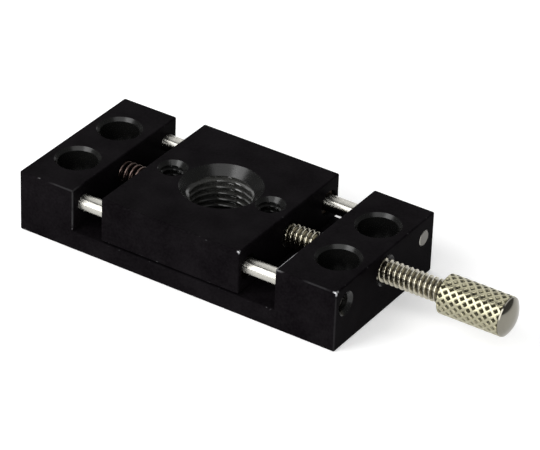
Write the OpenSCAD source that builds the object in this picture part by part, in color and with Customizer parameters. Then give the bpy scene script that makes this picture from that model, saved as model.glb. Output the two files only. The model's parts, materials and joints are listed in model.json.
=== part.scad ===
// Miniature linear translation stage.
// A carriage runs on two guide rods between the end blocks of a one-piece base. A knurled
// screw, threaded through the right end block, pushes it against a coil spring that is
// seated in the left end block.
// Millimetres. +X runs from the spring end to the knob, +Y to the rear rod and +Z up.
// The origin is the centre of the base's footprint, on its underside.

/* [Base] */
// Length of the base, along the travel
base_length = 66; // [64:0.5:76]
// Width of the base and of the carriage
stage_width = 31.75; // [31:0.25:40]
// Height of the two end blocks
block_height = 12; // [11.5:0.25:14]
// Thickness of the floor plate between the end blocks
plate_thickness = 3.7; // [2.5:0.1:4]
// Length of the left end block, which holds the spring
left_block_length = 11.5; // [10.5:0.1:12]
// Length of the right end block, which holds the adjuster screw
right_block_length = 12.3; // [10.5:0.1:13]
// Break on the outer edges of the base and the carriage
edge_break = 0.2; // [0.1:0.05:0.4]

/* [Fixing holes in the end blocks] */
// Distance between the fixing holes along the base
fixing_spacing_x = 54.7; // [54:0.1:56]
// Distance between the fixing holes across the base
fixing_spacing_y = 12.7; // [12.7:0.1:13.2]
// Diameter of the clearance hole for the fixing screw
fixing_hole_diameter = 4.5; // [3.5:0.1:5]
// Diameter of the counterbore for the screw head
counterbore_diameter = 7.2; // [7:0.1:7.4]
// Depth of the counterbore
counterbore_depth = 4.2; // [3:0.1:4.5]
// Chamfer round the mouth of the counterbore
counterbore_chamfer = 0.6; // [0.1:0.05:0.65]

/* [Carriage] */
// Length of the carriage, along the travel
carriage_length = 28.8; // [28:0.1:30]
// Height of the carriage's top face above the underside of the base
carriage_top = 12.7; // [12.2:0.1:14]
// Gap between the carriage and the floor plate
carriage_gap = 0.4; // [0.3:0.05:0.8]
// Place of the carriage's centre at rest, from the base's centre
carriage_rest = -1; // [-2:0.1:2]
// Major diameter of the threaded hole in the middle
centre_thread_diameter = 12.7; // [10:0.05:13]
// Diameter of that hole's chamfer at the top face
centre_rim_diameter = 15.1; // [13.4:0.1:15.4]
// Distance between the two small threaded holes
payload_hole_spacing = 20.6; // [20:0.1:21]
// Major diameter of the small threaded holes
payload_thread_diameter = 4.83; // [3:0.01:4.9]
// Diameter of their chamfer at the top face
payload_rim_diameter = 5.5; // [5:0.1:6]

/* [Guide rods and bushings] */
// Diameter of the guide rods
rod_diameter = 3.175; // [3:0.005:3.2]
// Distance between the two rods
rod_spacing = 25.4; // [25:0.1:25.6]
// Height of the rods, the screw and the spring above the underside of the base
axis_height = 8.2; // [8:0.05:8.5]
// Set-back of the front rod's end in the right end block
front_rod_setback = 1.5; // [0.5:0.1:3]
// Diameter of the countersink round the front rod's end
front_rod_countersink = 4.5; // [3.6:0.1:5]
// Outer diameter of the bushings
bushing_diameter = 4.76; // [4.4:0.01:5]
// Length of each bushing
bushing_length = 6; // [4:0.5:8]
// Set-back of each bushing from the carriage's end face
bushing_setback = 0.6; // [0.3:0.1:1.5]
// Diameter of the set screws that lock the rods, from the underside
set_screw_diameter = 3; // [2.5:0.1:3]
// Length of the set screws
set_screw_length = 5; // [4:0.5:6]

/* [Adjuster screw and knob] */
// Diameter of the adjuster screw over its thread
screw_diameter = 4.3; // [4:0.05:4.4]
// Length of screw that shows between the right end block and the knob at rest
screw_exposed = 11.8; // [8:0.1:14]
// Diameter of the chamfer where the screw leaves the end block
screw_mouth_diameter = 5.8; // [4.8:0.1:6]
// Diameter of the ball in the screw's tip
ball_diameter = 2.4; // [2:0.1:2.6]
// Diameter of the knob over its knurl
knob_diameter = 7.24; // [6.6:0.02:8]
// Length of the knob's knurled barrel
knurl_length = 11.8; // [8:0.1:14]
// Depth of the knurl's grooves
knurl_depth = 0.36; // [0.2:0.02:0.5]
// Number of diamonds round the knob
knurl_count = 14; // [12:1:20]
// Height of the domed end of the knob, its plain rim included
dome_height = 1.45; // [0.8:0.05:2]

/* [Return spring] */
// Outer diameter of the coil
spring_diameter = 4.2; // [3.8:0.05:4.3]
// Diameter of the wire
wire_diameter = 0.55; // [0.4:0.05:0.6]
// Number of turns, the closed turn at each end included
spring_turns = 14; // [10:1:15]
// Depth of the spring's pocket in the left end block
spring_pocket_depth = 8; // [6:0.5:9]
// Depth of its pocket in the carriage
carriage_spring_pocket = 1; // [0.6:0.1:1.2]

/* [Hidden] */
$fn = 96;

// Fits, as radial gaps
slip_gap = 0.01;
running_gap = 0.02;
thread_gap = 0.05;
relief_gap = 0.3;
// Extra length that carries a cut through a face, and by which joined shapes overlap
overcut = 1;
join_overlap = 0.1;

half_length = base_length / 2;
left_face = left_block_length - half_length;
right_face = half_length - right_block_length;
rod_y = rod_spacing / 2;
rod_r = rod_diameter / 2;
rod_chamfer = 0.25;
screw_r = screw_diameter / 2;
screw_chamfer = 0.35;

carriage_bottom = plate_thickness + carriage_gap;
carriage_left = carriage_rest - carriage_length / 2;
carriage_right = carriage_rest + carriage_length / 2;
bushing_r = bushing_diameter / 2;
bushing_pocket = bushing_length + bushing_setback;
bushing_chamfer = 0.2;

set_screw_chamfer = 0.3;
hex_socket_r = 0.87;
hex_socket_depth = 1.2;

// The pad stands at the bottom of its pocket, and the ball all but touches it
pad_pocket_depth = 1.3;
pad_thickness = 0.6;
pad_chamfer = 0.1;
pad_r = screw_r + relief_gap;
pad_face = carriage_right - pad_pocket_depth + pad_thickness;
ball_r = ball_diameter / 2;
ball_centre = pad_face + thread_gap + ball_r;
screw_tip = ball_centre - ball_r / 2;
ball_socket_depth = 1.5 * ball_r + slip_gap;

knob_start = half_length + screw_exposed;
knob_chamfer = 0.4;
knurl_start = knob_start + knob_chamfer;
knob_end = knurl_start + knurl_length;
knob_grip_depth = 8;
knurl_crest_r = knob_diameter / 2;
knurl_root_r = knurl_crest_r - knurl_depth;
// Two steps of the lattice make one diamond, as long as it is wide
knurl_steps_round = 2 * knurl_count;
knurl_step_angle = 360 / knurl_steps_round;
knurl_steps_along = round(knurl_length * knurl_steps_round / (PI * knob_diameter));
knurl_step_length = knurl_length / knurl_steps_along;
// Share of a diamond's half-width that its flat top takes
knurl_flat = 0.3;
// The plain shoulder and the dome's rim stand a little inside the knurl
shoulder_r = knurl_root_r - 0.1;
dome_rim_r = knurl_crest_r - 0.1;
dome_rim_height = 0.3;
dome_facets = 240;

spring_pocket_r = spring_diameter / 2 + 0.15;
spring_start = left_face - spring_pocket_depth;
spring_end = carriage_left + carriage_spring_pocket;
wire_r = wire_diameter / 2;
coil_r = spring_diameter / 2 - wire_r;
spring_steps_per_turn = 18;
spring_wire_sides = 8;
spring_steps = spring_turns * spring_steps_per_turn;
active_turns = spring_turns - 2;
active_pitch = (spring_end - spring_start - 3 * wire_diameter) / active_turns;

// Rectangle centred on the origin, with its corners broken at 45 degrees
module broken_rectangle(width, height, cut) {
    x = width / 2;
    y = height / 2;
    polygon([
        [x - cut, -y], [x, cut - y], [x, y - cut], [x - cut, y],
        [cut - x, y], [-x, y - cut], [-x, cut - y], [cut - x, -y]
    ]);
}

// Turns a shape that stands on +Z to point along +X from x, at the rods' height
module along_x(x, y = 0) {
    translate([x, y, axis_height])
        rotate([0, 90, 0])
            children();
}

// Cylinder with both ends chamfered, standing on +Z
module chamfered_cylinder(r, length, cut) {
    rotate_extrude()
        polygon([
            [0, 0], [r - cut, 0], [r, cut],
            [r, length - cut], [r - cut, length], [0, length]
        ]);
}

// Cone that chamfers a hole's mouth at 45 degrees. Its rim lies at z = 0 and it narrows down.
module mouth_chamfer(rim_r, hole_r) {
    depth = rim_r - hole_r;
    translate([0, 0, -depth])
        cylinder(r1 = hole_r, r2 = rim_r + overcut, h = depth + overcut);
}

// Side outline of the base: a floor plate with an end block standing at each end
module base_side_outline() {
    cut = edge_break;
    end = half_length;
    polygon([
        [cut - end, 0], [end - cut, 0], [end, cut], [end, block_height - cut],
        [end - cut, block_height], [right_face + cut, block_height],
        [right_face, block_height - cut], [right_face, plate_thickness],
        [left_face, plate_thickness], [left_face, block_height - cut],
        [left_face - cut, block_height], [cut - end, block_height],
        [-end, block_height - cut], [-end, cut]
    ]);
}

module base_blank() {
    intersection() {
        rotate([90, 0, 0])
            linear_extrude(height = stage_width, center = true)
                base_side_outline();
        translate([0, 0, block_height / 2])
            rotate([90, 0, 90])
                linear_extrude(height = base_length, center = true)
                    broken_rectangle(stage_width, block_height, edge_break);
        linear_extrude(height = block_height)
            broken_rectangle(base_length, stage_width, edge_break);
    }
}

// Clearance hole with a counterbore for a cap screw's head, cut down from the block's top
module fixing_hole() {
    translate([0, 0, -overcut])
        cylinder(d = fixing_hole_diameter, h = block_height + overcut);
    translate([0, 0, block_height - counterbore_depth])
        cylinder(d = counterbore_diameter, h = counterbore_depth + overcut);
    translate([0, 0, block_height])
        mouth_chamfer(counterbore_diameter / 2 + counterbore_chamfer, counterbore_diameter / 2);
}

module base_body() {
    color([0.08, 0.07, 0.08])
        difference() {
            base_blank();
            for (x = [-1, 1], y = [-1, 1])
                translate([x * fixing_spacing_x / 2, y * fixing_spacing_y / 2, 0])
                    fixing_hole();
            // Guide rod bores, right through both blocks
            for (y = [-rod_y, rod_y])
                along_x(-half_length - overcut, y)
                    cylinder(r = rod_r + slip_gap, h = base_length + 2 * overcut);
            along_x(half_length, -rod_y)
                mouth_chamfer(front_rod_countersink / 2, rod_r + slip_gap);
            // Tapped holes for the set screws that lock the rods
            for (x = [-1, 1], y = [-rod_y, rod_y])
                translate([x * fixing_spacing_x / 2, y, -overcut])
                    cylinder(d = set_screw_diameter, h = axis_height + overcut);
            // Screw bore, with its chamfered mouth on the outer face
            along_x(right_face - overcut)
                cylinder(r = screw_r + thread_gap, h = right_block_length + 2 * overcut);
            along_x(half_length)
                mouth_chamfer(screw_mouth_diameter / 2, screw_r + thread_gap);
            // Blind pocket that seats the spring
            along_x(spring_start)
                cylinder(r = spring_pocket_r, h = spring_pocket_depth + overcut);
        }
}

// One ground rod, from x = start to x = end
module guide_rod(y, start, end) {
    color([0.78, 0.78, 0.76])
        along_x(start, y)
            chamfered_cylinder(rod_r, end - start, rod_chamfer);
}

module guide_rod_front() {
    guide_rod(-rod_y, -half_length, half_length - front_rod_setback);
}

module guide_rod_rear() {
    guide_rod(rod_y, -half_length, half_length);
}

// Hex-socket set screw, bearing on the underside of a rod
module rod_set_screw(side_x, side_y) {
    top = axis_height - rod_r - slip_gap;
    color([0.16, 0.16, 0.17])
        translate([side_x * fixing_spacing_x / 2, side_y * rod_y, top - set_screw_length])
            difference() {
                chamfered_cylinder(
                    set_screw_diameter / 2 - slip_gap, set_screw_length, set_screw_chamfer
                );
                translate([0, 0, -overcut])
                    cylinder(r = hex_socket_r, h = hex_socket_depth + overcut, $fn = 6);
            }
}

// The carriage's block before it is bored, with its outer edges broken
module carriage_blank() {
    height = carriage_top - carriage_bottom;
    translate([carriage_rest, 0, carriage_bottom + height / 2])
        intersection() {
            rotate([90, 0, 0])
                linear_extrude(height = stage_width, center = true)
                    broken_rectangle(carriage_length, height, edge_break);
            rotate([90, 0, 90])
                linear_extrude(height = carriage_length, center = true)
                    broken_rectangle(stage_width, height, edge_break);
            linear_extrude(height = height, center = true)
                broken_rectangle(carriage_length, stage_width, edge_break);
        }
}

// Threaded hole right through the carriage, chamfered at the top face
module carriage_hole(x, thread_r, rim_r) {
    translate([carriage_rest + x, 0, carriage_bottom - overcut])
        cylinder(r = thread_r, h = carriage_top - carriage_bottom + 2 * overcut);
    translate([carriage_rest + x, 0, carriage_top])
        mouth_chamfer(rim_r, thread_r);
}

module carriage_block() {
    color([0.09, 0.08, 0.09])
        difference() {
            carriage_blank();
            carriage_hole(0, centre_thread_diameter / 2, centre_rim_diameter / 2);
            for (side = [-1, 1])
                carriage_hole(
                    side * payload_hole_spacing / 2,
                    payload_thread_diameter / 2,
                    payload_rim_diameter / 2
                );
            // Rod bores, wider at each end to take a bushing
            for (y = [-rod_y, rod_y]) {
                along_x(carriage_left - overcut, y)
                    cylinder(r = rod_r + relief_gap, h = carriage_length + 2 * overcut);
                along_x(carriage_left - overcut, y)
                    cylinder(r = bushing_r + slip_gap, h = bushing_pocket + overcut);
                along_x(carriage_right - bushing_pocket, y)
                    cylinder(r = bushing_r + slip_gap, h = bushing_pocket + overcut);
            }
            along_x(carriage_left - overcut)
                cylinder(r = spring_pocket_r, h = carriage_spring_pocket + overcut);
            along_x(carriage_right - pad_pocket_depth)
                cylinder(r = pad_r + slip_gap, h = pad_pocket_depth + overcut);
        }
}

// Plain sleeve bushing that runs on a rod. It starts at x = start.
module bushing(y, start) {
    cut = bushing_chamfer;
    bore_r = rod_r + running_gap;
    color([0.72, 0.52, 0.3])
        along_x(start, y)
            rotate_extrude()
                polygon([
                    [bore_r, cut], [bore_r + cut, 0], [bushing_r - cut, 0],
                    [bushing_r, cut], [bushing_r, bushing_length - cut],
                    [bushing_r - cut, bushing_length],
                    [bore_r + cut, bushing_length], [bore_r, bushing_length - cut]
                ]);
}

module left_bushing(y) {
    bushing(y, carriage_left + bushing_setback);
}

module right_bushing(y) {
    bushing(y, carriage_right - bushing_pocket);
}

// Hardened disc that takes the thrust of the screw's ball
module thrust_pad() {
    color([0.6, 0.6, 0.62])
        along_x(pad_face - pad_thickness)
            chamfered_cylinder(pad_r, pad_thickness, pad_chamfer);
}

module adjuster_screw() {
    length = knob_start + knob_grip_depth - screw_tip;
    color([0.74, 0.73, 0.68])
        along_x(screw_tip)
            difference() {
                chamfered_cylinder(screw_r, length, screw_chamfer);
                translate([0, 0, -overcut])
                    cylinder(r = ball_r + slip_gap, h = ball_socket_depth + overcut);
            }
}

module screw_ball_tip() {
    color([0.7, 0.7, 0.72])
        along_x(ball_centre)
            sphere(r = ball_r);
}

// Whether a point of the knurl's lattice is the middle of a diamond. The other points are
// groove crossings, and both ends of the barrel are a groove all round.
function is_crest(i, j) = j > 0 && j < knurl_steps_along && (i + j) % 2 == 1;
function knurl_point(i, j, r) = [
    r * cos(i * knurl_step_angle),
    r * sin(i * knurl_step_angle),
    j * knurl_step_length
];
function knurl_corner(i, j) = j * knurl_steps_round + (i + knurl_steps_round) % knurl_steps_round;

// Knurled barrel on +Z. Each diamond is a pyramid with a flat top, on four groove crossings.
module knurled_barrel() {
    corners = [
        for (j = [0:knurl_steps_along], i = [0:knurl_steps_round - 1])
            knurl_point(i, j, knurl_root_r)
    ];
    crests = [
        for (j = [0:knurl_steps_along], i = [0:knurl_steps_round - 1])
            if (is_crest(i, j)) [i, j]
    ];
    tops = [
        for (c = crests, k = [[1, 0], [0, 1], [-1, 0], [0, -1]])
            knurl_point(c.x + k.x * knurl_flat, c.y + k.y * knurl_flat, knurl_crest_r)
    ];
    flanks = [
        for (n = [0:len(crests) - 1], k = [0:3])
            let (
                i = crests[n].x,
                j = crests[n].y,
                around = [[i + 1, j], [i, j + 1], [i - 1, j], [i, j - 1]],
                a = knurl_corner(around[k].x, around[k].y),
                b = knurl_corner(around[(k + 1) % 4].x, around[(k + 1) % 4].y),
                first_top = len(corners) + 4 * n,
                top_a = first_top + k,
                top_b = first_top + (k + 1) % 4
            )
            each [[top_a, b, a], [top_a, top_b, b]]
    ];
    lands = [
        for (n = [0:len(crests) - 1])
            let (t = len(corners) + 4 * n)
            each [[t, t + 2, t + 1], [t, t + 3, t + 2]]
    ];
    // Half diamonds left between the lattice and its two end rings
    end_strips = [
        for (i = [0:knurl_steps_round - 1])
            each concat(
                i % 2 == 1
                    ? [[knurl_corner(i, 1), knurl_corner(i, 0), knurl_corner(i - 1, 0)],
                       [knurl_corner(i, 1), knurl_corner(i + 1, 0), knurl_corner(i, 0)]]
                    : [],
                (i + knurl_steps_along) % 2 == 1
                    ? [[knurl_corner(i, knurl_steps_along - 1),
                        knurl_corner(i - 1, knurl_steps_along),
                        knurl_corner(i, knurl_steps_along)],
                       [knurl_corner(i, knurl_steps_along - 1),
                        knurl_corner(i, knurl_steps_along),
                        knurl_corner(i + 1, knurl_steps_along)]]
                    : []
            )
    ];
    bottom = [for (i = [0:knurl_steps_round - 1]) knurl_corner(i, 0)];
    top = [
        for (i = [knurl_steps_round - 1:-1:0])
            knurl_corner(i, knurl_steps_along)
    ];
    polyhedron(concat(corners, tops), concat(flanks, lands, end_strips, [bottom, top]));
}

module knurled_knob() {
    color([0.76, 0.75, 0.68])
        difference() {
            union() {
                along_x(knurl_start)
                    knurled_barrel();
                // Chamfered shoulder at the screw's end, and the domed end
                along_x(knob_start)
                    cylinder(
                        r1 = shoulder_r - knob_chamfer,
                        r2 = shoulder_r,
                        h = knob_chamfer + join_overlap
                    );
                along_x(knob_end - join_overlap)
                    knob_dome();
            }
            along_x(knob_start - overcut)
                cylinder(r = screw_r + slip_gap, h = knob_grip_depth + overcut);
        }
}

// Short smooth rim with a spherical dome on it
module knob_dome() {
    rim_top = join_overlap + dome_rim_height;
    rise = dome_height - dome_rim_height;
    dome_r = (dome_rim_r * dome_rim_r + rise * rise) / (2 * rise);
    intersection() {
        cylinder(r = dome_rim_r, h = dome_height + overcut);
        translate([0, 0, rim_top + rise - dome_r])
            sphere(r = dome_r, $fn = dome_facets);
    }
}

// Distance of the wire's centre from the spring's start, after a number of turns: the
// first and last turns are closed up to one wire apart
function spring_rise(turn) =
    wire_r
    + min(turn, 1) * wire_diameter
    + min(max(turn - 1, 0), active_turns) * active_pitch
    + max(turn - 1 - active_turns, 0) * wire_diameter;

function spring_ring(step) =
    let (
        turn = step / spring_steps_per_turn,
        angle = turn * 360
    )
    [
        for (side = [0:spring_wire_sides - 1])
            let (
                a = side * 360 / spring_wire_sides,
                r = coil_r + wire_r * cos(a)
            )
            [r * cos(angle), r * sin(angle), spring_rise(turn) + wire_r * sin(a)]
    ];

// Compression spring swept along its helix, from the block's pocket to the carriage's
module return_spring() {
    sides = spring_wire_sides;
    points = [for (step = [0:spring_steps]) each spring_ring(step)];
    skin = [
        for (step = [0:spring_steps - 1], side = [0:sides - 1])
            let (
                a = step * sides + side,
                b = step * sides + (side + 1) % sides
            )
            each [[a, b, b + sides], [a, b + sides, a + sides]]
    ];
    start_cap = [for (side = [sides - 1:-1:0]) side];
    end_cap = [for (side = [0:sides - 1]) spring_steps * sides + side];
    color([0.3, 0.27, 0.26])
        along_x(spring_start)
            polyhedron(points, concat(skin, [start_cap, end_cap]));
}

base_body();
guide_rod_front();
guide_rod_rear();
rod_set_screw(-1, -1);  // rod_set_screw_front_left
rod_set_screw(1, -1);  // rod_set_screw_front_right
rod_set_screw(-1, 1);  // rod_set_screw_rear_left
rod_set_screw(1, 1);  // rod_set_screw_rear_right
return_spring();
carriage_block();
left_bushing(-rod_y);  // bushing_front_left
right_bushing(-rod_y);  // bushing_front_right
left_bushing(rod_y);  // bushing_rear_left
right_bushing(rod_y);  // bushing_rear_right
thrust_pad();
adjuster_screw();
screw_ball_tip();
knurled_knob();
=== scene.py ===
import json
import math

import bmesh
import bpy
from mathutils import Matrix, Vector


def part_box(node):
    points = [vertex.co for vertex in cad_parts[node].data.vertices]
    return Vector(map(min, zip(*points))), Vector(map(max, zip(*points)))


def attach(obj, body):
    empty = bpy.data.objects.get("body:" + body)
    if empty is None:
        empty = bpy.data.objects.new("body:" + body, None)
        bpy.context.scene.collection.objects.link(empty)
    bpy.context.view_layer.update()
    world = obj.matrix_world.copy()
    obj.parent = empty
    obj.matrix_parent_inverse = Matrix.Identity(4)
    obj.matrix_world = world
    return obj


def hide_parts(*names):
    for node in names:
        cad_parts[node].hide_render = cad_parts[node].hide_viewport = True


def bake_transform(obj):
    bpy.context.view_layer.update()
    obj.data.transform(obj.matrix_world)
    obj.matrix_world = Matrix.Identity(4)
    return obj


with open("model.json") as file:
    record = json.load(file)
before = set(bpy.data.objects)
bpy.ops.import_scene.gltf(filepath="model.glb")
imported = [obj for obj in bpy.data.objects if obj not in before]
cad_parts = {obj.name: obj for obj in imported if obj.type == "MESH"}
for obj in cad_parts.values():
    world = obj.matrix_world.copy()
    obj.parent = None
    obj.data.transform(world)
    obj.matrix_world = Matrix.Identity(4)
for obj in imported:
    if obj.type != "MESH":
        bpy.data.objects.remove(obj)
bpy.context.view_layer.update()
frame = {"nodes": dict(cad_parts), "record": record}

MM = 0.001
TURN = 2 * math.pi

# ---------------------------------------------------------------- sizes
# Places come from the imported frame; the few sizes that its boxes don't give are named here.

base_low, base_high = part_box("base_body")
carriage_low, carriage_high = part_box("carriage_block")
rod_low, rod_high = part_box("guide_rod_front")
screw_low, screw_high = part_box("adjuster_screw")
knob_low, knob_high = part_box("knurled_knob")
spring_low, spring_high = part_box("return_spring")

rod_r = (rod_high.z - rod_low.z) / 2
rod_y = -(rod_high.y + rod_low.y) / 2
axis_z = (rod_high.z + rod_low.z) / 2
screw_r = (screw_high.z - screw_low.z) / 2

LEFT_FACE = -21.5 * MM
RIGHT_FACE = 20.7 * MM
PLATE_TOP = 3.7 * MM
EDGE_ROUND = 0.3 * MM

COUNTERBORE_R = 3.6 * MM
COUNTERBORE_DEPTH = 4.2 * MM
COUNTERBORE_CHAMFER = 0.6 * MM
SCREW_MOUTH_R = 2.9 * MM
ROD_SINK_R = 2.25 * MM
SET_SCREW_R = 1.5 * MM
SPRING_POCKET_R = 2.25 * MM
SPRING_POCKET_DEPTH = 8 * MM
CARRIAGE_SPRING_POCKET = 1 * MM
PAD_POCKET_R = 2.46 * MM
PAD_POCKET_DEPTH = 1.3 * MM
BUSHING_R = 2.39 * MM
BUSHING_POCKET = 6.6 * MM
ROD_RELIEF = 0.3 * MM
RUNNING_GAP = 0.05 * MM

CENTRE_RIM_R = 7.55 * MM
CENTRE_PITCH = 1.27 * MM
PAYLOAD_RIM_R = 2.75 * MM
PAYLOAD_PITCH = 1.06 * MM
SCREW_PITCH = 1 * MM
# Depth of a sixty-degree thread, as a share of its pitch
THREAD_SHARE = 0.613

KNURL_COUNT = 14
KNURL_DEPTH = 0.36 * MM
KNOB_CHAMFER = 0.4 * MM
KNURL_LENGTH = 11.8 * MM
DOME_RIM = 0.3 * MM
DOME_SET_IN = 0.1 * MM

SPRING_TURNS = 14
WIRE_R = 0.275 * MM
SPRING_R = 2.1 * MM

ROD_CHAMFER = 0.25 * MM
SCREW_CHAMFER = 0.35 * MM
THREAD_INTO_KNOB = 1.5 * MM
SHOULDER_SET_IN = 0.2 * MM

# How finely round shapes are cut, and how far a cutter runs past what it cuts
BORE_SEGMENTS = 96
PIN_SEGMENTS = 48
TAP_SEGMENTS = 72
SCREW_SEGMENTS = 64
KNURL_SEGMENTS = 20 * KNURL_COUNT
KNURL_STEP = 0.07 * MM
DOME_STEPS = 24
COIL_SEGMENTS = 32
WIRE_SEGMENTS = 12
OVERCUT = 1 * MM

# Half-widths of a groove's floor and crest, as shares of the groove's pitch
THREAD_FLAT = 0.09
KNURL_RIDGE = 0.18

# The colour inputs of a Mix node, whose names its other inputs share
MIX_A, MIX_B = 6, 7
# Share of the floor's white that doesn't come from the lamps
FLOOR_LIFT = 0.35


def mount(name):
    """The record's mount of that name."""
    return next(m for m in frame["record"]["mounts"] if m["name"] == name)


fixing = mount("base_fixing_holes")["dims"]
fixing_x = fixing["spacing_x_mm"] * MM / 2
fixing_y = fixing["spacing_y_mm"] * MM / 2
fixing_r = fixing["hole_r_mm"] * MM
carriage_x = mount("centre_thread")["pos_m"][0]
centre_r = mount("centre_thread")["dims"]["r_mm"] * MM
payload_x = mount("payload_threads")["dims"]["spacing_x_mm"] * MM / 2
payload_r = mount("payload_threads")["dims"]["hole_r_mm"] * MM


# ---------------------------------------------------------------- node trees

def add(tree, kind, inputs=None, **settings):
    """Adds a node: its settings by name, and its inputs as values or as other nodes' outputs."""
    node = tree.nodes.new(kind)
    for name, value in settings.items():
        setattr(node, name, value)
    for key, value in (inputs or {}).items():
        if isinstance(value, bpy.types.NodeSocket):
            tree.links.new(value, node.inputs[key])
        else:
            node.inputs[key].default_value = value
    return node


def linear(hex_colour):
    """An sRGB hex value as linear RGBA."""
    channels = [int(hex_colour[i:i + 2], 16) / 255 for i in (1, 3, 5)]
    return [c / 12.92 if c <= 0.04045 else ((c + 0.055) / 1.055) ** 2.4 for c in channels] + [1]


def new_material(name):
    """An empty material, its tree, its shader and its Object coordinates in metres."""
    material = bpy.data.materials.new(name)
    material.use_nodes = True
    tree = material.node_tree
    tree.nodes.clear()
    shader = add(tree, "ShaderNodeBsdfPrincipled")
    add(tree, "ShaderNodeOutputMaterial", {"Surface": shader.outputs[0]})
    place = add(tree, "ShaderNodeTexCoord").outputs["Object"]
    return material, tree, shader, place


def near_points(tree, place, points):
    """A strength at any of the (x, y, z, reach, strength) points in millimetres, 0 at its reach."""
    total = None
    for x, y, z, reach, strength in points:
        centre = (x * MM, y * MM, z * MM)
        gap = add(tree, "ShaderNodeVectorMath", {0: place, 1: centre}, operation="DISTANCE")
        close = add(tree, "ShaderNodeMapRange", {
            "Value": gap.outputs["Value"], "From Min": 0.5 * reach * MM, "From Max": reach * MM,
            "To Min": strength, "To Max": 0.0,
        }).outputs[0]
        if total is None:
            total = close
        else:
            total = add(tree, "ShaderNodeMath", {0: total, 1: close}, operation="MAXIMUM").outputs[0]
    return total


def edge_wear_and_glints(tree, place, glint_points):
    """How far bare metal shows on rounded edges: in random worn spots, and as painted highlights strongest at
    the listed points.
    """
    normal = add(tree, "ShaderNodeTexCoord").outputs["Normal"]
    upright = add(tree, "ShaderNodeVectorMath", {0: normal}, operation="ABSOLUTE")
    split = add(tree, "ShaderNodeSeparateXYZ", {0: upright.outputs[0]})
    largest = add(tree, "ShaderNodeMath", {0: split.outputs[0], 1: split.outputs[1]}, operation="MAXIMUM")
    largest = add(tree, "ShaderNodeMath", {0: largest.outputs[0], 1: split.outputs[2]}, operation="MAXIMUM")
    edge = add(tree, "ShaderNodeMapRange", {
        "Value": largest.outputs[0], "From Min": 0.94, "From Max": 0.998, "To Min": 1.0, "To Max": 0.0,
    }).outputs[0]
    patches = add(tree, "ShaderNodeTexNoise", {"Vector": place, "Scale": 1 / (0.9 * MM), "Detail": 4})
    spots = add(tree, "ShaderNodeMapRange", {
        "Value": patches.outputs["Fac"], "From Min": 0.68, "From Max": 0.76, "To Min": 0.0, "To Max": 0.3,
    }).outputs[0]
    # Painted highlights at the listed points, put as bare metal on the edges
    painted_glints = near_points(tree, place, glint_points)
    wear_and_glints = add(tree, "ShaderNodeMath", {0: spots, 1: painted_glints}, operation="MAXIMUM").outputs[0]
    return add(tree, "ShaderNodeMath", {0: wear_and_glints, 1: edge}, operation="MULTIPLY").outputs[0]


def anodised(name, dark, light, specular, roughness, grain_mm, bump, glint_points=()):
    """Black anodised aluminium: a dark oxide film with a fine mottle, worn to bare metal in spots on its
    edges, with painted highlights of bare metal at the listed points.
    """
    material, tree, shader, place = new_material(name)
    shader.inputs["Specular IOR Level"].default_value = specular
    grain = add(tree, "ShaderNodeTexNoise", {"Vector": place, "Scale": 1 / (grain_mm * MM), "Detail": 4})
    drift = add(tree, "ShaderNodeTexNoise", {"Vector": place, "Scale": 1 / (6 * MM), "Detail": 3})
    blend = add(tree, "ShaderNodeMath", {0: grain.outputs["Fac"], 1: drift.outputs["Fac"]}, operation="ADD")
    mottle = add(tree, "ShaderNodeMapRange", {
        "Value": blend.outputs[0], "From Min": 0.7, "From Max": 1.3, "To Min": 0.0, "To Max": 1.0,
    })
    shade = add(tree, "ShaderNodeMix", {
        "Factor": mottle.outputs[0], MIX_A: linear(dark), MIX_B: linear(light),
    }, data_type="RGBA").outputs[2]
    gloss = add(tree, "ShaderNodeMapRange", {
        "Value": grain.outputs["Fac"], "From Min": 0.3, "From Max": 0.7,
        "To Min": roughness - 0.06, "To Max": roughness + 0.06,
    })
    relief = add(tree, "ShaderNodeBump", {
        "Height": grain.outputs["Fac"], "Strength": bump, "Distance": 0.02 * MM,
    })
    if glint_points:
        wear_and_glints = edge_wear_and_glints(tree, place, glint_points)
        # Bare metal shows in the random worn spots and as the painted highlights
        shade = add(tree, "ShaderNodeMix", {
            "Factor": wear_and_glints, MIX_A: shade, MIX_B: linear("#b4b4b6"),
        }, data_type="RGBA").outputs[2]
        tree.links.new(wear_and_glints, shader.inputs["Metallic"])
    tree.links.new(shade, shader.inputs["Base Color"])
    tree.links.new(gloss.outputs[0], shader.inputs["Roughness"])
    tree.links.new(relief.outputs[0], shader.inputs["Normal"])
    return material


def painted_root_shade(tree, place, floor_r, crest_r, root_shade):
    """Painted shade in the recesses of a thread or a knurl: how dark they are, from their distance to the
    screw's axis.
    """
    from_axis = add(tree, "ShaderNodeVectorMath", {0: place, 1: (0, 0, axis_z)}, operation="SUBTRACT")
    across = add(tree, "ShaderNodeVectorMath", {0: from_axis.outputs[0], 1: (0, 1, 1)}, operation="MULTIPLY")
    radius = add(tree, "ShaderNodeVectorMath", {0: across.outputs[0]}, operation="LENGTH").outputs["Value"]
    return add(tree, "ShaderNodeMapRange", {
        "Value": radius, "From Min": floor_r, "From Max": crest_r, "To Min": root_shade, "To Max": 0.0,
    }).outputs[0]


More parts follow.
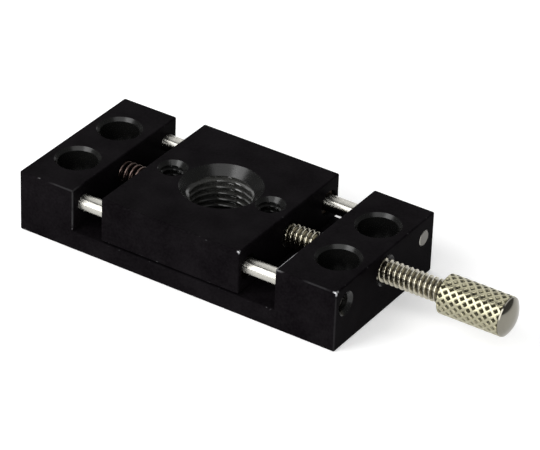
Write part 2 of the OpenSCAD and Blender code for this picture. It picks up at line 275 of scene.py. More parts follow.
def steel(name, dark, light, roughness, line_mm, bump, roots=None, drawn_out=0):
    """Bare steel, turned or ground: fine lines run round the X axis and shift its tone slightly."""
    material, tree, shader, place = new_material(name)
    shader.inputs["Metallic"].default_value = 1
    if drawn_out:
        # Grinding marks round the rod spread its highlights along it, and keep them narrow across it
        shader.inputs["Anisotropic"].default_value = drawn_out
        tree.links.new(add(tree, "ShaderNodeCombineXYZ", {0: 1.0}).outputs[0], shader.inputs["Tangent"])
    stretch = add(tree, "ShaderNodeMapping", {"Vector": place, "Scale": (1, 0.06, 0.06)})
    lines = add(tree, "ShaderNodeTexNoise", {
        "Vector": stretch.outputs[0], "Scale": 1 / (line_mm * MM), "Detail": 4,
    })
    shade = add(tree, "ShaderNodeMix", {
        "Factor": lines.outputs["Fac"], MIX_A: linear(dark), MIX_B: linear(light),
    }, data_type="RGBA").outputs[2]
    if roots:
        # Painted shade: the thread roots and knurl pits darken towards the screw's axis
        shade = add(tree, "ShaderNodeMix", {
            "Factor": painted_root_shade(tree, place, *roots),
            MIX_A: shade, MIX_B: linear("#1f1d17"),
        }, data_type="RGBA").outputs[2]
    gloss = add(tree, "ShaderNodeMapRange", {
        "Value": lines.outputs["Fac"], "From Min": 0.3, "From Max": 0.7,
        "To Min": roughness * 0.8, "To Max": roughness * 1.2,
    })
    relief = add(tree, "ShaderNodeBump", {
        "Height": lines.outputs["Fac"], "Strength": bump, "Distance": 0.01 * MM,
    })
    tree.links.new(shade, shader.inputs["Base Color"])
    tree.links.new(gloss.outputs[0], shader.inputs["Roughness"])
    tree.links.new(relief.outputs[0], shader.inputs["Normal"])
    return material


# Painted highlights: bare metal put on the edges where they catch the lamps. x, y, z and reach in
# millimetres, and how strong each is
GLINT_POINTS = (
    (20.7, -12.6, 12, 3.6, 1.0), (13.4, -15.875, 12.7, 0.6, 1.0), (33, -15.875, 12, 0.9, 1.0),
    (-21.5, -15.875, 10, 2.6, 0.06), (-21.5, -15.875, 6.5, 2.6, 0.06), (-23.5, -15.875, 12, 3.5, 0.04),
    (33, -15.875, 8, 4, 0.03), (33, -15.875, 3, 4, 0.03), (29, -15.875, 12, 3, 0.04),
)
# Bead-blasted, then black anodised: nearly matt, a neutral very dark grey
blasted_anodise = anodised(
    "black_anodised_aluminium", "#080608", "#151315", 0.006, 0.5, 0.45, 0.3, GLINT_POINTS)
# The cutter leaves bores and pockets smoother, so the same film is glossier there
bored_anodise = anodised("black_anodised_bore", "#0a0a0a", "#141413", 0.4, 0.24, 0.2, 0.05)
# Mating screws have rubbed the film thin on the thread's flanks, so they look grey and catch the light
tapped_anodise = anodised("rubbed_anodised_thread", "#20201f", "#3a3a37", 1.0, 0.2, 0.3, 0.2)
# Centreless-ground rod stock: bright and smooth, with marks too fine to see one by one
ground_steel = steel(
    "ground_stainless_steel", "#aeaca5", "#c0beb7", 0.25, 0.2, 0.03, drawn_out=0.95)
# Thread rolled in stainless steel: bright crests, slightly warm, with painted shade in the roots
rolled_steel = steel(
    "rolled_stainless_steel", "#a5a08f", "#c6c1b0", 0.2, 0.2, 0.2, (1.6 * MM, 2.05 * MM, 0.7))
# Knurled stainless steel: pressed ridges catch the light, and painted shade darkens the pits
knurled_steel = steel(
    "knurled_stainless_steel", "#949079", "#aeaa92", 0.24, 0.3, 0.3, (3.3 * MM, 3.6 * MM, 0.9))
# Tempered spring wire: its heat treatment leaves a brown-grey skin
spring_steel = steel("tempered_spring_wire", "#5b4d49", "#75645e", 0.3, 0.3, 0.1)
# Bushings sintered from bronze powder: dull, dark and a little porous
bronze = steel("sintered_bronze", "#241c13", "#33281b", 0.45, 0.1, 0.3)
# Rod ends as sawn: rough, and darkened as painted shade
sawn_steel_painted_shade = steel("sawn_steel_painted_shade", "#5d5b57", "#807d77", 0.45, 0.15, 0.5)
# The knob's end, turned and polished: it mirrors the room softly, and its colour is darkened as a painted
# dark reflection
polished_steel_painted_dark = steel("polished_steel_with_painted_shade", "#77746a", "#88857b", 0.12, 0.4, 0.05)
# Set screws of alloy steel, blackened in an oxide bath: dark, with a faint sheen
oxide_steel = steel("black_oxide_steel", "#1d1d1f", "#2a2a2c", 0.35, 0.2, 0.2)


# ---------------------------------------------------------------- mesh building

def finished(name, bm, material):
    """Turns a bmesh into an object with one material and outward faces."""
    bmesh.ops.recalc_face_normals(bm, faces=bm.faces)
    mesh = bpy.data.meshes.new(name)
    bm.to_mesh(mesh)
    bm.free()
    mesh.materials.append(material)
    piece = bpy.data.objects.new(name, mesh)
    bpy.context.scene.collection.objects.link(piece)
    return piece


def lathe(name, profile, segments, material):
    """A closed solid turned about the X axis from (x, radius) points. A radius of 0 is a pole."""
    bm = bmesh.new()
    rings = []
    for x, r in profile:
        if r == 0:
            rings.append([bm.verts.new((x, 0, 0))])
            continue
        rings.append([
            bm.verts.new((x, r * math.cos(TURN * k / segments), r * math.sin(TURN * k / segments)))
            for k in range(segments)
        ])
    for first, second in zip(rings, rings[1:]):
        for k in range(segments):
            corners = [first[k % len(first)], first[(k + 1) % len(first)],
                       second[(k + 1) % len(second)], second[k % len(second)]]
            bm.faces.new(list(dict.fromkeys(corners)))
    for ring in (rings[0], rings[-1]):
        if len(ring) > 1:
            bm.faces.new(ring)
    return finished(name, bm, material)


def stepped(x0, x1, r, step):
    """(x, radius) points along a plain stretch, close enough together to carry a relief."""
    count = max(1, round(abs(x1 - x0) / step))
    return [(x0 + (x1 - x0) * k / count, r) for k in range(count + 1)]


def stand(piece, x, y, z):
    """Turns a lathed piece's axis from X to Z and puts its start at a point."""
    piece.data.transform(Matrix.Translation((x, y, z)) @ Matrix.Rotation(-math.pi / 2, 4, "Y"))
    return piece


def lay(piece, x, y):
    """Puts a lathed piece on the rods' height, along X from x."""
    piece.data.transform(Matrix.Translation((x, y, axis_z)))
    return piece


def settle(piece):
    """Replaces a piece's live modifiers by their result."""
    bpy.context.view_layer.update()
    graph = bpy.context.evaluated_depsgraph_get()
    mesh = bpy.data.meshes.new_from_object(piece.evaluated_get(graph), depsgraph=graph)
    piece.modifiers.clear()
    old = piece.data
    piece.data = mesh
    bpy.data.meshes.remove(old)
    mesh.name = piece.name
    return piece


def carve(piece, cutters):
    """Cuts closed solids out of a piece. The cut faces take the cutter's material."""
    for cutter in cutters:
        cut = piece.modifiers.new("cut", "BOOLEAN")
        cut.operation = "DIFFERENCE"
        cut.solver = "EXACT"
        cut.material_mode = "TRANSFER"
        cut.object = cutter
    settle(piece)
    for cutter in cutters:
        bpy.data.objects.remove(cutter)
    return piece


def smooth(piece, angle_deg=30):
    """Shades a piece smooth, apart from edges sharper than the angle."""
    mesh = piece.data
    mesh.polygons.foreach_set("use_smooth", [True] * len(mesh.polygons))
    mesh.set_sharp_from_angle(angle=math.radians(angle_deg))
    return piece


def paint(piece, material, chosen):
    """Gives a second finish to the faces whose centre passes a test."""
    piece.data.materials.append(material)
    last = len(piece.data.materials) - 1
    for face in piece.data.polygons:
        if chosen(face.center):
            face.material_index = last
    return piece


def weigh_normals(piece):
    """Lets flat faces keep a flat shade beside their rounded edges."""
    weights = piece.modifiers.new("weights", "WEIGHTED_NORMAL")
    weights.keep_sharp = True
    return settle(piece)


def rounded_prism(name, outline, half_width, material):
    """An (x, z) outline extruded across Y, with every outer edge rounded."""
    bm = bmesh.new()
    front = bm.faces.new([bm.verts.new((x, -half_width, z)) for x, z in outline])
    grown = bmesh.ops.extrude_face_region(bm, geom=[front])["geom"]
    moved = [v for v in grown if isinstance(v, bmesh.types.BMVert)]
    bmesh.ops.translate(bm, verts=moved, vec=(0, 2 * half_width, 0))
    bmesh.ops.recalc_face_normals(bm, faces=bm.faces)
    outer = [e for e in bm.edges if e.is_convex]
    bmesh.ops.bevel(
        bm, geom=outer, offset=EDGE_ROUND, offset_type="OFFSET", segments=3, profile=0.5,
        affect="EDGES", clamp_overlap=True,
    )
    return finished(name, bm, material)


# ---------------------------------------------------------------- relief by geometry nodes

def relief_tree(name, inputs):
    """A geometry node tree with its named inputs and the position's polar parts about X."""
    tree = bpy.data.node_groups.new(name, "GeometryNodeTree")
    tree.interface.new_socket("Geometry", in_out="INPUT", socket_type="NodeSocketGeometry")
    for label in inputs:
        tree.interface.new_socket(label, in_out="INPUT", socket_type="NodeSocketFloat")
    tree.interface.new_socket("Finish", in_out="INPUT", socket_type="NodeSocketMaterial")
    tree.interface.new_socket("Geometry", in_out="OUTPUT", socket_type="NodeSocketGeometry")
    source = add(tree, "NodeGroupInput")
    split = add(tree, "ShaderNodeSeparateXYZ", {0: add(tree, "GeometryNodeInputPosition").outputs[0]})
    x, y, z = split.outputs
    angle = add(tree, "ShaderNodeMath", {0: z, 1: y}, operation="ARCTAN2").outputs[0]
    turn = add(tree, "ShaderNodeMath", {0: angle, 1: TURN}, operation="DIVIDE").outputs[0]
    across = add(tree, "ShaderNodeCombineXYZ", {1: y, 2: z}).outputs[0]
    radius = add(tree, "ShaderNodeVectorMath", {0: across}, operation="LENGTH").outputs["Value"]
    return tree, source, x, turn, across, radius


def groove(tree, phase, floor_half, crest_half):
    """1 in the floor of a groove, 0 on its crest, for a phase that grows by 1 from groove to groove."""
    part = add(tree, "ShaderNodeMath", {0: phase}, operation="FRACT").outputs[0]
    offset = add(tree, "ShaderNodeMath", {0: part, 1: 0.5}, operation="SUBTRACT").outputs[0]
    away = add(tree, "ShaderNodeMath", {0: offset}, operation="ABSOLUTE").outputs[0]
    return add(tree, "ShaderNodeMapRange", {
        "Value": away, "From Min": floor_half, "From Max": 0.5 - crest_half, "To Min": 1.0, "To Max": 0.0,
    }).outputs[0]


def stretch_window(tree, source, x, fade):
    """1 between the tree's Start and End, fading to 0 past them."""
    begin = add(tree, "ShaderNodeMath", {0: x, 1: source.outputs["Start"]}, operation="SUBTRACT")
    finish = add(tree, "ShaderNodeMath", {0: source.outputs["End"], 1: x}, operation="SUBTRACT")
    nearest = add(tree, "ShaderNodeMath", {0: begin.outputs[0], 1: finish.outputs[0]}, operation="MINIMUM")
    return add(tree, "ShaderNodeMapRange", {
        "Value": nearest.outputs[0], "From Min": 0.0, "From Max": fade, "To Min": 0.0, "To Max": 1.0,
    }).outputs[0]


def press_relief(tree, source, x, across, radius, depth_share):
    """Moves points inwards to the crest radius less the relief's depth, where they stand outside it."""
    depth = add(tree, "ShaderNodeMath", {0: depth_share, 1: source.outputs["Depth"]}, operation="MULTIPLY")
    target = add(tree, "ShaderNodeMath", {
        0: source.outputs["Crest radius"], 1: depth.outputs[0],
    }, operation="SUBTRACT")
    kept = add(tree, "ShaderNodeMath", {0: target.outputs[0], 1: radius}, operation="MINIMUM")
    safe = add(tree, "ShaderNodeMath", {0: radius, 1: 1e-9}, operation="MAXIMUM")
    shrink = add(tree, "ShaderNodeMath", {0: kept.outputs[0], 1: safe.outputs[0]}, operation="DIVIDE")
    drawn = add(tree, "ShaderNodeVectorMath", {0: across, "Scale": shrink.outputs[0]}, operation="SCALE")
    along = add(tree, "ShaderNodeCombineXYZ", {0: x}).outputs[0]
    place = add(tree, "ShaderNodeVectorMath", {0: drawn.outputs[0], 1: along}, operation="ADD")
    moved = add(tree, "GeometryNodeSetPosition", {
        "Geometry": source.outputs["Geometry"], "Position": place.outputs[0],
    })
    whole = add(tree, "GeometryNodeRealizeInstances", {0: moved.outputs[0]})
    painted = add(tree, "GeometryNodeSetMaterial", {
        "Geometry": whole.outputs[0], "Material": source.outputs["Finish"],
    })
    add(tree, "NodeGroupOutput", {0: painted.outputs[0]})
    return tree


def thread_tree():
    """Cuts a right-hand thread with flat crests and roots into a cylinder about X."""
    tree, source, x, turn, across, radius = relief_tree(
        "thread_relief", ["Pitch", "Depth", "Crest radius", "Start", "End"])
    turns_along = add(tree, "ShaderNodeMath", {
        0: x, 1: source.outputs["Pitch"],
    }, operation="DIVIDE").outputs[0]
    phase = add(tree, "ShaderNodeMath", {0: turns_along, 1: turn}, operation="SUBTRACT").outputs[0]
    cut = groove(tree, phase, THREAD_FLAT, THREAD_FLAT)
    window = stretch_window(tree, source, x, SCREW_PITCH)
    share = add(tree, "ShaderNodeMath", {0: cut, 1: window}, operation="MULTIPLY").outputs[0]
    return press_relief(tree, source, x, across, radius, share)


def knurl_tree():
    """Leaves two crossing sets of helical ridges, with a diamond-shaped pit in every mesh."""
    tree, source, x, turn, across, radius = relief_tree(
        "knurl_relief", ["Diamond length", "Diamonds round", "Depth", "Crest radius", "Start", "End"])
    along = add(tree, "ShaderNodeMath", {
        0: x, 1: source.outputs["Diamond length"],
    }, operation="DIVIDE").outputs[0]
    around = add(tree, "ShaderNodeMath", {
        0: turn, 1: source.outputs["Diamonds round"],
    }, operation="MULTIPLY").outputs[0]
    hands = []
    for hand in ("ADD", "SUBTRACT"):
        phase = add(tree, "ShaderNodeMath", {0: around, 1: along}, operation=hand).outputs[0]
        hands.append(groove(tree, phase, THREAD_FLAT, KNURL_RIDGE))
    cut = add(tree, "ShaderNodeMath", {0: hands[0], 1: hands[1]}, operation="MINIMUM").outputs[0]
    window = stretch_window(tree, source, x, 0.05 * MM)
    share = add(tree, "ShaderNodeMath", {0: cut, 1: window}, operation="MULTIPLY").outputs[0]
    return press_relief(tree, source, x, across, radius, share)


def apply_tree(piece, tree, values):
    """Runs a geometry node tree on a piece with its inputs set by identifier, and keeps the mesh."""
    modifier = piece.modifiers.new(tree.name, "NODES")
    modifier.node_group = tree
    for item in tree.interface.items_tree:
        if item.in_out == "INPUT" and item.name in values:
            modifier[item.identifier] = values[item.name]
    return settle(piece)


thread_relief = thread_tree()
knurl_relief = knurl_tree()


def threaded(piece, pitch, crest_r, start, end, finish):
    """Cuts a thread of one pitch into a turned piece, between two places along X."""
    return apply_tree(piece, thread_relief, {
        "Pitch": pitch, "Depth": THREAD_SHARE * pitch, "Crest radius": crest_r,
        "Start": start, "End": end, "Finish": finish,
    })


# ---------------------------------------------------------------- base

def bore_cutter(name, profile, segments=BORE_SEGMENTS):
    """A cutter that leaves the smoother finish of a bore."""
    return lathe(name, profile, segments, bored_anodise)


def milled_base():
    """The one-piece base: a floor plate with an end block at each end, bored for rods, screw and spring."""
    end, top = base_high.x, base_high.z
    outline = [
        (-end, 0), (end, 0), (end, top), (RIGHT_FACE, top), (RIGHT_FACE, PLATE_TOP),
        (LEFT_FACE, PLATE_TOP), (LEFT_FACE, top), (-end, top),
    ]
    piece = rounded_prism("milled_base", outline, base_high.y, blasted_anodise)
    floor = top - COUNTERBORE_DEPTH
    hole = [(-OVERCUT, 0), (-OVERCUT, fixing_r), (floor, fixing_r), (floor, COUNTERBORE_R)]
    hole += [
        (top - COUNTERBORE_CHAMFER, COUNTERBORE_R),
        (top + OVERCUT, COUNTERBORE_R + COUNTERBORE_CHAMFER + OVERCUT), (top + OVERCUT, 0),
    ]
    cutters = []
    for sx in (-1, 1):
        for sy in (-1, 1):
            cutters.append(stand(bore_cutter("fixing_hole", hole), sx * fixing_x, sy * fixing_y, 0))
            pin = [(-OVERCUT, 0), (-OVERCUT, SET_SCREW_R), (axis_z, SET_SCREW_R), (axis_z, 0)]
            pin_cutter = bore_cutter("set_screw_hole", pin, PIN_SEGMENTS)
            cutters.append(stand(pin_cutter, sx * fixing_x, sy * rod_y, 0))
    for sy in (-1, 1):
        bore = [(-end - OVERCUT, 0), (-end - OVERCUT, rod_r), (end + OVERCUT, rod_r), (end + OVERCUT, 0)]
        cutters.append(lay(bore_cutter("rod_bore", bore), 0, sy * rod_y))
    depth = ROD_SINK_R - rod_r
    sink = [(end - depth, 0), (end - depth, rod_r), (end + OVERCUT, ROD_SINK_R + OVERCUT), (end + OVERCUT, 0)]
    cutters.append(lay(bore_cutter("rod_sink", sink), 0, -rod_y))
    bore_r = screw_r + RUNNING_GAP
    mouth = SCREW_MOUTH_R - bore_r
    screw_bore = [
        (RIGHT_FACE - OVERCUT, 0), (RIGHT_FACE - OVERCUT, bore_r), (end - mouth, bore_r),
        (end + OVERCUT, SCREW_MOUTH_R + OVERCUT), (end + OVERCUT, 0),
    ]
    cutters.append(lay(bore_cutter("screw_bore", screw_bore), 0, 0))
    pocket = [
        (LEFT_FACE - SPRING_POCKET_DEPTH, 0), (LEFT_FACE - SPRING_POCKET_DEPTH, SPRING_POCKET_R),
        (LEFT_FACE + OVERCUT, SPRING_POCKET_R), (LEFT_FACE + OVERCUT, 0),
    ]
    cutters.append(lay(bore_cutter("spring_pocket", pocket), 0, 0))
    carve(piece, cutters)
    return weigh_normals(smooth(piece, 35))


# ---------------------------------------------------------------- carriage

def tap(name, x, major_r, pitch, finish):
    """A tap-shaped cutter that leaves a full thread in a hole right through the carriage."""
    length = carriage_high.z - carriage_low.z + 2 * OVERCUT
    profile = [(0, 0)] + stepped(0, length, major_r, pitch / 10) + [(length, 0)]
    cutter = lathe(name, profile, TAP_SEGMENTS, finish)
    threaded(cutter, pitch, major_r, -OVERCUT * 9, length + OVERCUT * 9, finish)
    return stand(cutter, x, 0, carriage_low.z - OVERCUT)


def cone(name, x, rim_r, hole_r):
    """A chamfer cutter whose rim lies in the carriage's top face."""
    depth = rim_r - hole_r
    profile = [(-depth, 0), (-depth, hole_r), (0, rim_r), (OVERCUT, rim_r + OVERCUT), (OVERCUT, 0)]
    return stand(lathe(name, profile, BORE_SEGMENTS, bored_anodise), x, 0, carriage_high.z)


def carriage_plate():
    """The moving platform, with its threaded holes, rod bores and the two end pockets."""
    left, right = carriage_low.x, carriage_high.x
    low, high = carriage_low.z, carriage_high.z
    outline = [(left, low), (right, low), (right, high), (left, high)]
    piece = rounded_prism("carriage_plate", outline, carriage_high.y, blasted_anodise)
    inner = THREAD_SHARE * CENTRE_PITCH
    cutters = [
        tap("centre_tap", carriage_x, centre_r, CENTRE_PITCH, tapped_anodise),
        cone("centre_cone", carriage_x, CENTRE_RIM_R, centre_r - inner),
    ]
    for side in (-1, 1):
        x = carriage_x + side * payload_x
        cutters.append(tap("payload_tap", x, payload_r, PAYLOAD_PITCH, bored_anodise))
        cutters.append(cone("payload_cone", x, PAYLOAD_RIM_R, payload_r - THREAD_SHARE * PAYLOAD_PITCH))
    for sy in (-1, 1):
        wide, narrow = BUSHING_R, rod_r + ROD_RELIEF
        bore = [
            (left - OVERCUT, 0), (left - OVERCUT, wide), (left + BUSHING_POCKET, wide),
            (left + BUSHING_POCKET, narrow), (right - BUSHING_POCKET, narrow),
            (right - BUSHING_POCKET, wide), (right + OVERCUT, wide), (right + OVERCUT, 0),
        ]
        cutters.append(lay(bore_cutter("rod_bore", bore), 0, sy * rod_y))
    spring_seat = [
        (left - OVERCUT, 0), (left - OVERCUT, SPRING_POCKET_R),
        (left + CARRIAGE_SPRING_POCKET, SPRING_POCKET_R), (left + CARRIAGE_SPRING_POCKET, 0),
    ]
    cutters.append(lay(bore_cutter("spring_seat", spring_seat), 0, 0))
    pad_seat = [
        (right - PAD_POCKET_DEPTH, 0), (right - PAD_POCKET_DEPTH, PAD_POCKET_R),
        (right + OVERCUT, PAD_POCKET_R), (right + OVERCUT, 0),
    ]
    cutters.append(lay(bore_cutter("pad_seat", pad_seat), 0, 0))
    carve(piece, cutters)
    return weigh_normals(smooth(piece, 35))


# ---------------------------------------------------------------- turned pieces

def ground_rod(name, node):
    """A ground rod with chamfered ends, at its node's place."""
    low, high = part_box(node)
    chamfer = ROD_CHAMFER
    length = high.x - low.x
    profile = [(0, 0), (0, rod_r - chamfer), (chamfer, rod_r), (length - chamfer, rod_r),
               (length, rod_r - chamfer), (length, 0)]
    piece = lathe(name, profile, BORE_SEGMENTS, ground_steel)
    # The rod ends take the sawn finish, darkened as painted shade
    paint(piece, sawn_steel_painted_shade, lambda centre: not 0 < centre.x < length)
    lay(piece, low.x, (low.y + high.y) / 2)
    return smooth(piece)


def threaded_screw():
    """The adjuster screw: a rolled thread from its tip to the knob."""
    length = screw_high.x - screw_low.x
    chamfer = SCREW_CHAMFER
    thread_end = knob_low.x - screw_low.x + THREAD_INTO_KNOB
    profile = [(0, 0), (0, screw_r - chamfer)]
    profile += stepped(chamfer, thread_end, screw_r, SCREW_PITCH / 16)
    profile += [(length, screw_r), (length, 0)]
    piece = lathe("threaded_screw", profile, SCREW_SEGMENTS, rolled_steel)
    threaded(piece, SCREW_PITCH, screw_r, -2 * MM, thread_end, rolled_steel)
    lay(piece, screw_low.x, 0)
    return smooth(piece, 40)


def knurled_grip():
    """The knob: diamond-knurled barrel, chamfered at the screw's end and domed at the other."""
    crest_r = (knob_high.z - knob_low.z) / 2
    length = knob_high.x - knob_low.x
    barrel_end = KNOB_CHAMFER + KNURL_LENGTH
    rim_r = crest_r - DOME_SET_IN
    rim_end = barrel_end + DOME_RIM
    rise = length - rim_end
    dome_r = (rim_r ** 2 + rise ** 2) / (2 * rise)
    dome = []
    for k in range(1, DOME_STEPS + 1):
        r = rim_r * (1 - k / DOME_STEPS)
        dome.append((length - dome_r + math.sqrt(dome_r ** 2 - r ** 2), r))
    profile = [(0, 0), (0, crest_r - KNOB_CHAMFER - SHOULDER_SET_IN)]
    profile += stepped(KNOB_CHAMFER, barrel_end, crest_r, KNURL_STEP)
    profile += [(barrel_end + 0.02 * MM, rim_r), (rim_end, rim_r)] + dome
    piece = lathe("knurled_grip", profile, KNURL_SEGMENTS, knurled_steel)
    apply_tree(piece, knurl_relief, {
        "Diamond length": math.pi * 2 * crest_r / KNURL_COUNT, "Diamonds round": float(KNURL_COUNT),
        "Depth": KNURL_DEPTH, "Crest radius": crest_r, "Start": -1 * MM, "End": barrel_end,
        "Finish": knurled_steel,
    })
    # The dome takes the polished finish, darkened as a painted dark reflection
    paint(piece, polished_steel_painted_dark, lambda centre: centre.x > barrel_end + 0.01 * MM)
    lay(piece, knob_low.x, 0)
    return smooth(piece, 40)


# ---------------------------------------------------------------- spring

def spring_tree():
    """Winds a compression spring along Z: closed end turns, then an even pitch between them."""
    tree = bpy.data.node_groups.new("wound_spring", "GeometryNodeTree")
    tree.interface.new_socket("Geometry", in_out="INPUT", socket_type="NodeSocketGeometry")
    for label in ("Turns", "Length", "Coil radius", "Wire radius"):
        tree.interface.new_socket(label, in_out="INPUT", socket_type="NodeSocketFloat")
    tree.interface.new_socket("Finish", in_out="INPUT", socket_type="NodeSocketMaterial")
    tree.interface.new_socket("Geometry", in_out="OUTPUT", socket_type="NodeSocketGeometry")
    source = add(tree, "NodeGroupInput")
    turns = source.outputs["Turns"]
    wire = add(tree, "ShaderNodeMath", {
        0: source.outputs["Wire radius"], 1: 2.0,
    }, operation="MULTIPLY").outputs[0]
    coil = add(tree, "GeometryNodeCurveSpiral", {
        "Resolution": COIL_SEGMENTS, "Rotations": turns, "Start Radius": source.outputs["Coil radius"],
        "End Radius": source.outputs["Coil radius"], "Height": source.outputs["Length"],
    })
    index = add(tree, "GeometryNodeInputIndex").outputs[0]
    turn = add(tree, "ShaderNodeMath", {0: index, 1: float(COIL_SEGMENTS)}, operation="DIVIDE").outputs[0]
    # Active turns share the length that the two closed turns leave
    closed = add(tree, "ShaderNodeMath", {0: wire, 1: 3.0}, operation="MULTIPLY").outputs[0]
    open_length = add(tree, "ShaderNodeMath", {
        0: source.outputs["Length"], 1: closed,
    }, operation="SUBTRACT").outputs[0]
    last = add(tree, "ShaderNodeMath", {0: turns, 1: 1.0}, operation="SUBTRACT").outputs[0]
    first_rise = add(tree, "ShaderNodeMapRange", {
        "Value": turn, "From Min": 0.0, "From Max": 1.0, "To Min": 0.0, "To Max": wire}).outputs[0]
    open_rise = add(tree, "ShaderNodeMapRange", {
        "Value": turn, "From Min": 1.0, "From Max": last, "To Min": 0.0, "To Max": open_length}).outputs[0]
    last_rise = add(tree, "ShaderNodeMapRange", {
        "Value": turn, "From Min": last, "From Max": turns, "To Min": 0.0, "To Max": wire}).outputs[0]
    rise = add(tree, "ShaderNodeMath", {0: first_rise, 1: open_rise}, operation="ADD").outputs[0]
    rise = add(tree, "ShaderNodeMath", {0: rise, 1: last_rise}, operation="ADD").outputs[0]
    rise = add(tree, "ShaderNodeMath", {
        0: rise, 1: source.outputs["Wire radius"],
    }, operation="ADD").outputs[0]
    split = add(tree, "ShaderNodeSeparateXYZ", {0: add(tree, "GeometryNodeInputPosition").outputs[0]})
    place = add(tree, "ShaderNodeCombineXYZ", {0: split.outputs[0], 1: split.outputs[1], 2: rise})
    wound = add(tree, "GeometryNodeSetPosition", {"Geometry": coil.outputs[0], "Position": place.outputs[0]})
    section = add(tree, "GeometryNodeCurvePrimitiveCircle", {
        "Resolution": WIRE_SEGMENTS, "Radius": source.outputs["Wire radius"],
    }, mode="RADIUS")
    swept = add(tree, "GeometryNodeCurveToMesh", {
        "Curve": wound.outputs[0], "Profile Curve": section.outputs[0], "Fill Caps": True,
    })
    whole = add(tree, "GeometryNodeRealizeInstances", {0: swept.outputs[0]})
    painted = add(tree, "GeometryNodeSetMaterial", {
        "Geometry": whole.outputs[0], "Material": source.outputs["Finish"],
    })
    add(tree, "NodeGroupOutput", {0: painted.outputs[0]})
    return tree


def wound_spring():
    """The return spring, laid along X between its two pockets."""
    bm = bmesh.new()
    bm.verts.new((0, 0, 0))
    piece = finished("wound_spring", bm, spring_steel)
    apply_tree(piece, spring_tree(), {
        "Turns": float(SPRING_TURNS), "Length": spring_high.x - spring_low.x,
        "Coil radius": SPRING_R - WIRE_R, "Wire radius": WIRE_R, "Finish": spring_steel,
    })
    along_x = Matrix.Rotation(math.pi / 2, 4, "Y")
    piece.data.transform(Matrix.Translation((spring_low.x, 0, axis_z)) @ along_x)
    return smooth(piece, 60)


# ---------------------------------------------------------------- assembly

def fit(piece, body, node):
    """Puts a finished piece in place of its CAD node, on its body."""
    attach(piece, body)
    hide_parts(node)


fit(milled_base(), "base", "base_body")
fit(carriage_plate(), "carriage", "carriage_block")
fit(ground_rod("ground_rod_front", "guide_rod_front"), "base", "guide_rod_front")
fit(ground_rod("ground_rod_rear", "guide_rod_rear"), "base", "guide_rod_rear")
fit(threaded_screw(), "screw", "adjuster_screw")
fit(knurled_grip(), "screw", "knurled_knob")

spring = wound_spring()
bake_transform(spring)
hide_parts("return_spring")


def dress(node, material):
    """Gives a CAD node that keeps its own shape a finish."""
    mesh = frame["nodes"][node].data
    mesh.materials.clear()
    mesh.materials.append(material)


for corner in ("front_left", "front_right", "rear_left", "rear_right"):
    dress("rod_set_screw_" + corner, oxide_steel)
    dress("bushing_" + corner, bronze)
dress("thrust_pad", ground_steel)
dress("screw_ball_tip", ground_steel)


# ---------------------------------------------------------------- studio

def floor_sheet():
    """A pale floor that reads as white to the eye and in reflections, and keeps the shadow."""
    material, tree, shader, place = new_material("pale_paper")
    shader.inputs["Roughness"].default_value = 0.9
    shader.inputs["Emission Color"].default_value = (1, 1, 1, 1)
    path = add(tree, "ShaderNodeLightPath").outputs
    seen = add(tree, "ShaderNodeMath", {
        0: path["Is Camera Ray"], 1: path["Is Glossy Ray"],
    }, operation="MAXIMUM")
    seen = add(tree, "ShaderNodeMath", {
        0: seen.outputs[0], 1: path["Is Transmission Ray"],
    }, operation="MAXIMUM")
    lift = add(tree, "ShaderNodeMath", {0: seen.outputs[0], 1: FLOOR_LIFT}, operation="MULTIPLY")
    tree.links.new(lift.outputs[0], shader.inputs["Emission Strength"])
    shader.inputs["Specular IOR Level"].default_value = 0.1
    fibre = add(tree, "ShaderNodeTexNoise", {"Vector": place, "Scale": 1 / (4 * MM), "Detail": 3})
    shade = add(tree, "ShaderNodeMix", {
        "Factor": fibre.outputs["Fac"], MIX_A: linear("#f2f2f2"), MIX_B: linear("#f6f6f6"),
    }, data_type="RGBA")
    tree.links.new(shade.outputs[2], shader.inputs["Base Color"])
    bm = bmesh.new()
    under = Matrix.Translation((0, 0, -0.02 * MM))
    bmesh.ops.create_grid(bm, x_segments=1, y_segments=1, size=3, matrix=under)
    floor = finished("floor", bm, material)


def towards(azimuth, elevation):
    """The direction from the object to an azimuth (0 is the front) and an elevation, in radians."""
    return Vector((
        math.sin(azimuth) * math.cos(elevation),
        -math.cos(azimuth) * math.cos(elevation),
        math.sin(elevation),
    ))


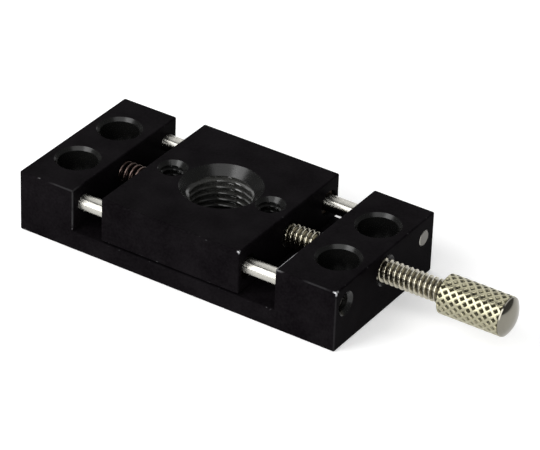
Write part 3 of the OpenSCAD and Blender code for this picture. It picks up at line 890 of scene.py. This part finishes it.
def soft_lamp(name, azimuth, elevation, distance, size, power):
    """A rectangular white lamp that looks at the object from an azimuth and an elevation in degrees."""
    data = bpy.data.lights.new(name, "AREA")
    data.shape = "RECTANGLE"
    data.size, data.size_y = size
    data.energy = power
    lamp = bpy.data.objects.new(name, data)
    back = towards(math.radians(azimuth), math.radians(elevation))
    lamp.location = back * distance
    lamp.rotation_euler = (-back).to_track_quat("-Z", "Y").to_euler()
    bpy.context.scene.collection.objects.link(lamp)


def studio():
    """A white world, a pale floor and soft boxes, placed for what the steel reflects."""
    scene = bpy.context.scene
    scene.view_settings.view_transform = "Standard"
    world = bpy.data.worlds.new("studio")
    world.use_nodes = True
    world.node_tree.nodes["Background"].inputs["Color"].default_value = linear("#ffffff")
    world.node_tree.nodes["Background"].inputs["Strength"].default_value = 0.15
    scene.world = world
    floor_sheet()
    soft_lamp("front_box", -30, 31, 0.7, (0.35, 0.8), 3.6)
    soft_lamp("overhead_box", -126, 52, 0.7, (0.7, 0.6), 1.6)
    soft_lamp("back_box", -152, 16, 0.7, (0.7, 0.45), 1.0)
    soft_lamp("low_side_box", 24, 24, 0.7, (0.7, 0.22), 2.3)
    soft_lamp("high_side_box", 20, 58, 0.7, (0.7, 0.35), 1.1)


def camera():
    """A long lens from the front right, above; solved for a picture 540 pixels wide."""
    azimuth, elevation, roll = (math.radians(v) for v in (32.26, 32.24, 2.17))
    target = Vector((7.21, 3.35, 6.0)) * MM
    distance = 592.4 * MM
    pixels_per_metre = 5.707 / MM
    picture_width = 540
    level = Vector((math.cos(azimuth), math.sin(azimuth), 0))
    back = towards(azimuth, elevation)
    upright = back.cross(level)
    right = math.cos(roll) * level + math.sin(roll) * upright
    up = back.cross(right)
    data = bpy.data.cameras.new("camera")
    data.sensor_width = 36
    data.lens = data.sensor_width * pixels_per_metre * distance / picture_width
    data.clip_start, data.clip_end = 0.01, 20
    view = bpy.data.objects.new("camera", data)
    turned = Matrix((right, up, back)).transposed().to_4x4()
    view.matrix_world = Matrix.Translation(target + back * distance) @ turned
    bpy.context.scene.collection.objects.link(view)
    bpy.context.scene.camera = view


studio()
camera()
